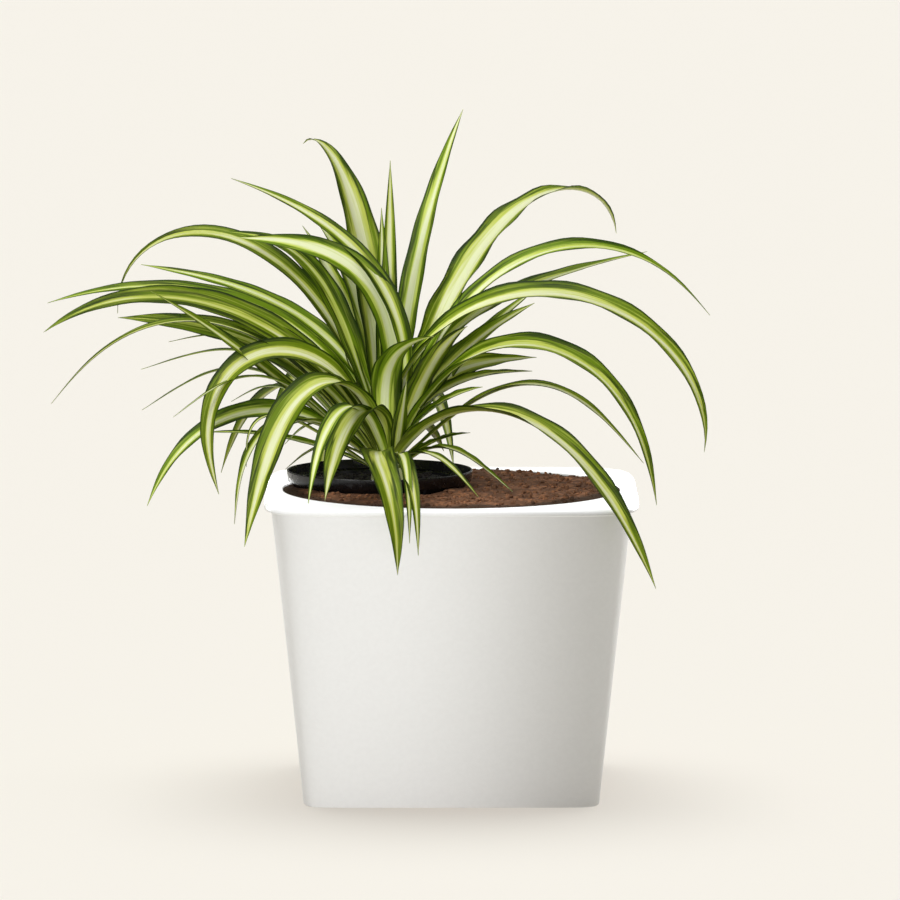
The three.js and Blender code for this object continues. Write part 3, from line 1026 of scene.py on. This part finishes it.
LEAVES: dict[Side, list[Leaf]] = {
    Side.HEART: [
        Leaf(57, 4, 22, 80, 53, 0.60, 1.2, 246, 18, 0, 0, 0.50),
        Leaf(126, 4, 26, 84, -40, 0.91, 1.0, 243, 28, 0, 0, 0.56),
        Leaf(85, 8, 16, 90, 86, 0.50, 1.0, 202, 12, 0, 0, 0.55),
        Leaf(112, 8, 16, 89, 88, 0.50, 1.0, 170, 13, 0, 0, 0.40),
        Leaf(165, 3, 25, 116, 18, 0.40, 1.3, 245, 14, 0, -40, 0.40),
        Leaf(180, 4, 25, 101, 3, 0.54, 1.8, 211, 23, 0, -60, 0.58),
        Leaf(172, 6, 31, 73, 5, 0.71, 2.0, 192, 18, 0, -40, 0.15),
        Leaf(164, 7, 28, 75, -91, 0.72, 1.15, 294, 16, 0, -30, 0.30),
        Leaf(143, 3, 32, 72, 51, 0.60, 1.1, 157, 22, 0, 0, 0.66),
        Leaf(134, 3, 24, 82, 38, 0.65, 1.3, 172, 24, 0, 0, 0.68),
        Leaf(150, 5, 26, 70, 58, 0.50, 1.0, 110, 22, 0, 0, 0.60),
        Leaf(300, 10, 15, 74, 76, 0.50, 1.0, 58, 11, 0, 0, 0.30),
        Leaf(250, 9, 14, 96, 14, 0.62, 1.25, 111, 22, 110, -25, 0.45),
    ],
    Side.LEFT: [
        Leaf(176, 6, 20, 76, -17, 0.42, 1.1, 280, 14, 0, -35, 0.25),
        Leaf(184, 6, 18, 66, -36, 0.58, 1.0, 278, 22, 0, -45, 0.15),
        Leaf(178, 7, 16, 62, 2, 0.42, 1.2, 212, 24, 0, -45, 0.12),
        Leaf(192, 7, 14, 54, -50, 0.60, 1.6, 282, 10, 0, -10, 0.30),
        Leaf(165, 5, 25, 82, 8, 0.33, 1.3, 226, 13, 0, -40, 0.30),
        Leaf(195, 7, 12, 42, 30, 0.70, 1.0, 200, 13, 0, -40, 0.25),
        Leaf(160, 7, 12, 47, -13, 0.68, 2.2, 186, 11, 0, 0, 0.35),
        Leaf(156, 8, 10, 45, -18, 0.58, 2.5, 208, 9, 0, 0, 0.40),
        Leaf(188, 8, 10, 46, -32, 0.60, 2.5, 192, 9, 0, 0, 0.40),
        Leaf(200, 8, 10, 46, -34, 0.62, 2.5, 176, 8, 0, 0, 0.45),
        Leaf(198, 6, 26, 65, -106, 0.53, 1.6, 227, 20, 0, -40, 0.42),
        Leaf(222, 8, 20, 74, -72, 0.35, 2.0, 212, 25, 0, -15, 0.42),
        Leaf(172, 8, 8, 46, -30, 0.72, 2.5, 124, 9, 0, 0, 0.40),
        Leaf(194, 8, 10, 47, -66, 0.52, 1.3, 200, 17, 0, -35, 0.40),
        Leaf(186, 8, 8, 28, -2, 0.50, 1.0, 122, 9, 0, -20, 0.35),
        Leaf(206, 8, 8, 32, -88, 0.74, 3.0, 134, 8, 0, 0, 0.45),
        Leaf(208, 8, 11, 38, -82, 0.54, 2.2, 164, 14, 0, 0, 0.50),
        Leaf(213, 8, 11, 42, -82, 0.50, 2.2, 164, 10, 0, 0, 0.45),
    ],
    Side.FRONT: [
        Leaf(250, 9, 18, 94, -61, 0.30, 1.06, 153, 23, 0, 0, 0.40),
        Leaf(251, 7, 17, 52, -66, 0.52, 1.2, 190, 14, 0, 0, 0.45),
        Leaf(261, 7, 20, 8, -88, 0.68, 2.0, 194, 23, 44, 0, 0.28),
        Leaf(274, 7, 14, 12, -84, 0.70, 2.0, 180, 12, 14, 0, 0.40),
        Leaf(276, 8, 12, 14, -84, 0.71, 2.2, 172, 9, 0, 0, 0.40),
        Leaf(198, 8, 12, 50, -44, 0.62, 2.0, 82, 8, 0, 0, 0.50),
        Leaf(205, 8, 12, 34, -36, 0.52, 1.8, 76, 6, 0, 0, 0.55),
    ],
    Side.RIGHT: [
        Leaf(347, 4, 32, 100, -100, 0.49, 0.8, 331, 25, 0, 25, 0.40),
        Leaf(16, 5, 24, 80, 12, 0.32, 1.5, 238, 19, 0, 15, 0.35),
        Leaf(10, 4, 26, 71, -50, 0.60, 1.4, 304, 18, 0, 20, 0.35),
        Leaf(33, 6, 29, 68, -80, 0.82, 1.25, 284, 28, 0, 5, 0.60, ripple=0.09),
        Leaf(340, 6, 20, 66, -80, 0.49, 1.4, 282, 22, 0, 20, 0.28),
        Leaf(319, 8, 16, 50, -61, 0.37, 1.15, 284, 26, 0, 0, 0.35),
        Leaf(348, 7, 13, 42, -48, 0.55, 2.2, 206, 12, 0, 10, 0.40),
        Leaf(355, 5, 31, 50, 3, 0.49, 1.6, 108, 16, 0, 15, 0.35),
        Leaf(20, 6, 20, 66, 2, 0.45, 2.0, 130, 20, 0, 30, 0.50),
        Leaf(25, 5, 22, 56, 32, 0.55, 1.0, 150, 15, 0, 25, 0.42),
        Leaf(8, 5, 22, 64, 28, 0.50, 1.2, 140, 20, 0, 30, 0.42),
        Leaf(335, 8, 8, 48, 8, 0.50, 1.2, 62, 13, 0, 0, 0.30),
        Leaf(325, 8, 8, 40, -32, 0.37, 2.1, 106, 10, 0, 0, 0.35),
        Leaf(305, 5, 17, 14, -30, 0.46, 2.0, 107, 8, 0, 0, 0.40),
        Leaf(340, 8, 19, 77, 26, 0.79, 0.8, 104, 21, 0, -35, 0.38),
        Leaf(340, 8, 23, 67, 12, 0.41, 0.85, 77, 14, 0, 20, 0.35),
    ],
    Side.BACK: [
        Leaf(100, 5, 24, 66, -66, 0.58, 1.4, 250, 18, 0, 0, 0.45),
        Leaf(90, 6, 20, 58, -72, 0.52, 1.4, 235, 17, 0, 0, 0.35),
        Leaf(118, 6, 18, 54, -60, 0.50, 1.4, 225, 16, 0, 0, 0.40),
        Leaf(74, 7, 14, 46, -62, 0.50, 1.5, 195, 14, 0, 0, 0.45),
        Leaf(94, 7, 12, 42, -80, 0.52, 1.6, 200, 18, 0, 0, 0.50),
        Leaf(110, 8, 8, 34, -70, 0.55, 1.8, 180, 12, 0, 0, 0.40),
        Leaf(132, 7, 12, 46, -64, 0.52, 1.5, 215, 15, 0, 0, 0.35),
        Leaf(68, 7, 12, 38, -40, 0.50, 1.6, 105, 12, 0, 0, 0.40),
        Leaf(86, 8, 8, 30, -30, 0.50, 1.5, 120, 10, 0, 0, 0.45),
    ],
}


@dataclass
class SpiderPlant:
    """The plant: its short upright stock and every leaf that grows from it."""

    crown: Point = (-43.0, 12.0, 207.0)  # where the stock leaves the potting mix
    stock_r: float = 12.0
    stock_height: float = 37.0
    stock_depth: float = 25.7
    stock_around: int = 72
    ridges: int = 9
    ridge_depth: float = 0.05  # as a share of the stock's radius
    steps: int = 44  # stations along a blade
    across: int = 9  # points across each face of a blade
    keel: float = 0.36  # how far the edges stand above the midrib, per half width
    widest: float = 0.42  # where along its length a blade is widest
    root_width: float = 0.50  # width at the root, as a share of the full width
    twist_over: float = 0.35  # the share of the length over which a blade takes its roll
    sway: float = 7.0  # how far a blade rolls to and fro beyond that
    sways: float = 1.4  # how often it does so along its length
    least_half: float = 0.22  # half width at the very tip
    rib_thickness: float = 1.2
    edge_thickness: float = 0.3
    thinning: float = 0.65  # how much of the thickness is lost toward the tip
    stripe_loss: float = 0.25  # how much of the stripe's share of the width is lost toward the tip
    seed: int = 5

    def width_share(self, s: np.ndarray) -> np.ndarray:
        """A blade's width: narrow at the root, widest before the middle, then drawn out to a point.

        Args:
            s: Shares of the length.

        Returns:
            The share of the full width at each.
        """
        opened = np.sin(math.pi / 2 * np.clip(s / self.widest, 0, 1))
        narrowed = np.clip((s - self.widest) / (1 - self.widest), 0, 1) ** 2.0
        return (self.root_width + (1 - self.root_width) * opened) * (1 - narrowed)

    def blade(self, leaf: Leaf, draw: np.random.Generator) -> Skin:
        """One leaf as a thin closed skin.

        At each station the section runs over the upper face from edge to edge and back under it.
        Its height is that of a rounded V, and the blade rolls a little as it grows.

        Args:
            leaf: The leaf's measures.
            draw: Random numbers for its tone and ripples.

        Returns:
            The blade, with its "rib" and "mark" values.
        """
        tone, phase, pace = draw.random(3)
        s = np.linspace(0, 1, self.steps + 1)
        path = leaf.midrib(np.array(self.crown), 4 * self.steps)[::4]
        rise, heading = leaf.rise(s), leaf.heading(s)
        up = np.stack([-np.cos(heading) * np.sin(rise), -np.sin(heading) * np.sin(rise), np.cos(rise)], -1)
        side = np.stack([-np.sin(heading), np.cos(heading), 0 * s], -1)
        to_and_fro = self.sway * s * np.sin(2 * math.pi * (self.sways * s + phase))
        roll = np.radians(leaf.roll * np.clip(s / self.twist_over, 0, 1) + to_and_fro)[:, None]
        lean, lift = side * np.cos(roll) + up * np.sin(roll), up * np.cos(roll) - side * np.sin(roll)

        along = s[:, None]
        half = np.maximum(leaf.width / 2 * self.width_share(s), self.least_half)[:, None]
        u = np.linspace(1, -1, self.across)
        u = np.concatenate([u, u[::-1]])[None]
        face = np.concatenate([np.ones(self.across), -np.ones(self.across)])[None]
        waves = along * (5 + 3 * pace) + 0.25 * u + phase
        wave = leaf.ripple * half * np.abs(u) ** 3 * np.sin(2 * math.pi * waves)
        thick = self.edge_thickness + (self.rib_thickness - self.edge_thickness) * (1 - np.abs(u)) ** 2
        thick = thick * (1 - self.thinning * along)
        height = self.keel * half * np.abs(u) ** 1.35 + wave + face * thick / 2
        rings = path[:, None] + lean[:, None] * (half * u)[..., None] + lift[:, None] * height[..., None]
        skin = closed_skin(rings, path[0], path[-1] + (path[-1] - path[-2]) * 0.2)

        rib = np.stack(np.broadcast_arrays(half * u, along * leaf.length, tone), -1)
        mark = np.stack(np.broadcast_arrays(u, along, leaf.stripe * (1 - self.stripe_loss * along)), -1)
        for key, values in (("rib", rib), ("mark", mark)):
            poles = values[[0, -1], self.across // 2]
            skin.values[key] = np.vstack([values.reshape(-1, 3), poles])
        return skin

    def stock(self) -> Skin:
        """A short stem that narrows upwards, ridged by the bases of old leaves.

        Returns:
            The stock, with the same values as a blade.
        """
        outline = rounded([
            (0, -self.stock_depth, 0), (self.stock_r - 3, -self.stock_depth, 2), (self.stock_r, -6, 6),
            (self.stock_r, 2, 4), (self.stock_r - 3.5, 22, 10),
            (self.stock_r - 9, self.stock_height - 1, 2), (0, self.stock_height, 0),
        ])[1:-1]
        angle = np.linspace(0, 2 * math.pi, self.stock_around, endpoint=False)
        low_to_high = np.clip(outline[:, 1:] / 10, 0, 1)  # the ridges fade in over the first 10 mm
        ridge = 1 + self.ridge_depth * np.sin(self.ridges * angle)[None] * low_to_high
        crown = np.array(self.crown)
        rings = turned(outline[:, :1] * ridge, outline[:, 1:], circle(self.stock_around)) + crown
        skin = closed_skin(rings, crown - (0, 0, self.stock_depth), crown + (0, 0, self.stock_height))
        plain = np.tile([0.0, 0.0, 0.3], (len(skin.points), 1))
        skin.values = {"rib": plain, "mark": plain}
        return skin

    def build(self, finish: VariegatedLeaf) -> Item:
        """Grows every leaf and joins them with the stock in one mesh.

        Args:
            finish: The leaves' finish.

        Returns:
            The plant, which replaces its solid.
        """
        draw = np.random.default_rng(self.seed)
        skins = [self.stock()] + [self.blade(leaf, draw) for group in LEAVES.values() for leaf in group]
        piece = joined(skins).mesh_object("plant_leaves", finish.material(), sharp=60)
        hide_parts("spider_plant")
        return piece


# ---- studio


class Lamp(Enum):
    """The kinds of lamp in the studio."""

    STRIP = "AREA"
    SUN = "SUN"


@dataclass(frozen=True)
class Studio:
    """The pale floor, the soft lights and the camera at the photograph's angle."""

    frame_px: float = 900.0
    px_per_mm: float = 1.47
    axis_px: tuple[float, float] = (451.5, 488.0)  # where the planter's axis meets its rim
    rim_z: float = 204.0
    elevation: float = 6.5
    distance: float = 5000.0
    sensor: float = 36.0
    sight: tuple[float, float] = (0.1, 200.0)  # metres, from the nearest to the farthest that is drawn
    floor_colour: str = "#F7F3EA"
    floor_half: float = 40.0  # metres
    sky_colour: tuple[float, float, float, float] = (1.0, 0.985, 0.96, 1.0)  # linear
    sky_strength: float = 0.06
    strip_watts: float = 0.071
    strip_size: tuple[float, float] = (0.03, 0.5)  # metres, across and high
    strip_spread: float = 26.5

    def camera(self) -> None:
        """A long lens, level from side to side and looking a little down along +Y."""
        tilt = math.radians(self.elevation)
        ahead = Vector((0, math.cos(tilt), -math.sin(tilt)))
        up = Vector((0, math.sin(tilt), math.cos(tilt)))
        middle = self.frame_px / 2
        aim = Vector((0, 0, self.rim_z))
        aim += Vector((1, 0, 0)) * (middle - self.axis_px[0]) / self.px_per_mm
        aim += up * (self.axis_px[1] - middle) / self.px_per_mm
        data = bpy.data.cameras.new("camera")
        data.sensor_width = self.sensor
        data.lens = self.sensor * self.distance / (self.frame_px / self.px_per_mm)
        data.clip_start, data.clip_end = self.sight
        camera = add_object("camera", data)
        camera.location = (aim - ahead * self.distance) * MM
        camera.rotation_mode = "QUATERNION"
        camera.rotation_quaternion = ahead.to_track_quat("-Z", "Y")
        bpy.context.scene.camera = camera

    def floor(self) -> Item:
        """A wide matt floor.

        Returns:
            The floor, which is no part of the object.
        """
        material, _, shader = new_material("studio_floor_matt")
        shader.inputs["Base Color"].default_value = linear(self.floor_colour)
        shader.inputs["Roughness"].default_value = 1.0
        shader.inputs["Specular IOR Level"].default_value = 0.0
        half = self.floor_half
        mesh = bpy.data.meshes.new("floor")
        corners = [(-half, -half, 0), (half, -half, 0), (half, half, 0), (-half, half, 0)]
        mesh.from_pydata(corners, [], [(0, 1, 2, 3)])
        mesh.materials.append(material)
        floor = add_object("floor", mesh)
        return floor

    def light(self, name: str, kind: Lamp, place: Point, aim: Point, energy: float, lit: list[Item],
              shading: list[Item] | None = None, gloss_only: bool = False, **settings: object) -> None:
        """Adds a lamp.

        Args:
            name: Its name.
            kind: Its kind.
            place: Where it stands.
            aim: What it points at.
            energy: Watts, or for a sun its strength.
            lit: The only objects it lights, as if flagged off from all others.
            shading: The only objects that cast shadows in its light; None lets everything.
            gloss_only: It shows in reflections alone, as through a polarising filter.
            **settings: The lamp's own properties.
        """
        data = bpy.data.lights.new(name, kind.value)
        data.energy = energy
        for key, value in settings.items():
            setattr(data, key, value)
        lamp = add_object(name, data)
        lamp.visible_diffuse = not gloss_only
        lamp.location = Vector(place) * MM
        lamp.rotation_mode = "QUATERNION"
        lamp.rotation_quaternion = (Vector(aim) - Vector(place)).to_track_quat("-Z", "Y")
        for purpose, chosen in (("receiver_collection", lit), ("blocker_collection", shading)):
            if chosen is None:
                continue
            group = bpy.data.collections.new(name + "_" + purpose)
            for piece in chosen:
                group.objects.link(piece)
            setattr(lamp.light_linking, purpose, group)

    def sun(self, name: str, place: Point, strength: float, lit: list[Item], wide: float | None = None,
            **options: object) -> None:
        """Adds a distant lamp that points at the middle of the planter's base.

        Args:
            name: Its name.
            place: Which way it stands.
            strength: Its strength.
            lit: The only objects it lights.
            wide: How wide it looks, in degrees; None for one that casts no shadow.
            **options: The lamp's shading and gloss_only, as in light.
        """
        cast = {"use_shadow": False} if wide is None else {"angle": math.radians(wide)}
        self.light(name, Lamp.SUN, place, (0, 0, 0), strength, lit, **options, **cast)

    def lights(self, floor: Item, planter: Item, plant: list[Item]) -> None:
        """Each of the floor, the planter and the plant has soft lamps of its own, in a dim even room.

        The floor has a wash that the planter shades and one that nothing shades. The planter has a
        lamp overhead, two upright strips in front, two low ones behind for its edges and one for its
        back. The plant has lamps overhead, at the left, in front (two, one without shadows) and,
        faintly, behind.

        Args:
            floor: The floor.
            planter: The planter.
            plant: Every other piece.
        """
        world = bpy.data.worlds.new("studio")
        world.use_nodes = True
        sky = world.node_tree.nodes["Background"]
        sky.inputs["Color"].default_value = self.sky_colour
        sky.inputs["Strength"].default_value = self.sky_strength
        bpy.context.scene.world = world
        planter.visible_diffuse = False  # its bounce would raise a glow on the floor round it
        self.sun("floor_wash", (0, 500, 1500), 1.27, [floor], wide=60, shading=[planter])
        self.sun("floor_even", (0, 500, 1500), 1.84, [floor])
        self.sun("overhead", (-300, -180, 1500), 1.8, plant, wide=50)
        self.sun("rim_overhead", (-200, -60, 1500), 3.6, [planter], wide=20, shading=[planter])
        self.sun("plant_key", (-900, -900, 1000), 1.35, plant, wide=15)
        self.sun("plant_fill", (300, -1500, 300), 0.8, plant, wide=90)
        self.sun("plant_back", (200, 1200, 900), 0.35, plant, wide=60)
        self.sun("planter_back", (100, 1500, 300), 0.9, [planter], wide=40)
        self.sun("plant_even", (-200, -1500, 600), 0.8, plant)
        self.sun("edge_right", (450, 900, 150), 6.0, [planter], wide=10, gloss_only=True)
        self.sun("edge_left", (-450, 900, 150), 5.0, [planter], wide=10, gloss_only=True)
        across, high = self.strip_size
        for name, x in (("left_strip", -125), ("middle_strip", -15)):
            self.light(name, Lamp.STRIP, (x, -620, 90), (x, 0, 90), self.strip_watts, [planter], [planter],
                       shape="RECTANGLE", size=across, size_y=high, spread=math.radians(self.strip_spread))


# ---- main


def main() -> None:
    """Builds the object piece by piece, and the studio round it."""
    logging.basicConfig(level=logging.INFO, format="%(name)s: %(message)s")
    studio = Studio()
    studio.camera()
    bpy.context.scene.view_settings.view_transform = "Standard"

    planter, pot = Planter(), NurseryPot()
    soil = PottingSoil("brown_garden_soil", dry="#9B6946", damp="#634129", ring=106.0)
    mix = PottingSoil("dark_potting_mix", dry="#2A211B", damp="#0F0B09", crumb=2.4)
    bed, fill = SoilBed(planter, pot), PottingMix(pot)
    pieces = [
        planter.build(MouldedResin()),
        pot.build(BlownPolypropylene()),
        bed.build(soil),
        bed.build_crumbs(soil, Crumbs(1100, 0.8, 4.2, seed=11)),
        fill.build(mix),
        fill.build_crumbs(mix, Crumbs(500, 0.8, 3.6, seed=12)),
        SpiderPlant().build(VariegatedLeaf()),
    ]
    studio.lights(studio.floor(), pieces[0], pieces[1:])
    for piece in pieces:
        LOG.info("%s: %d faces", piece.name, len(piece.data.polygons))


if __name__ == "__main__":
    main()
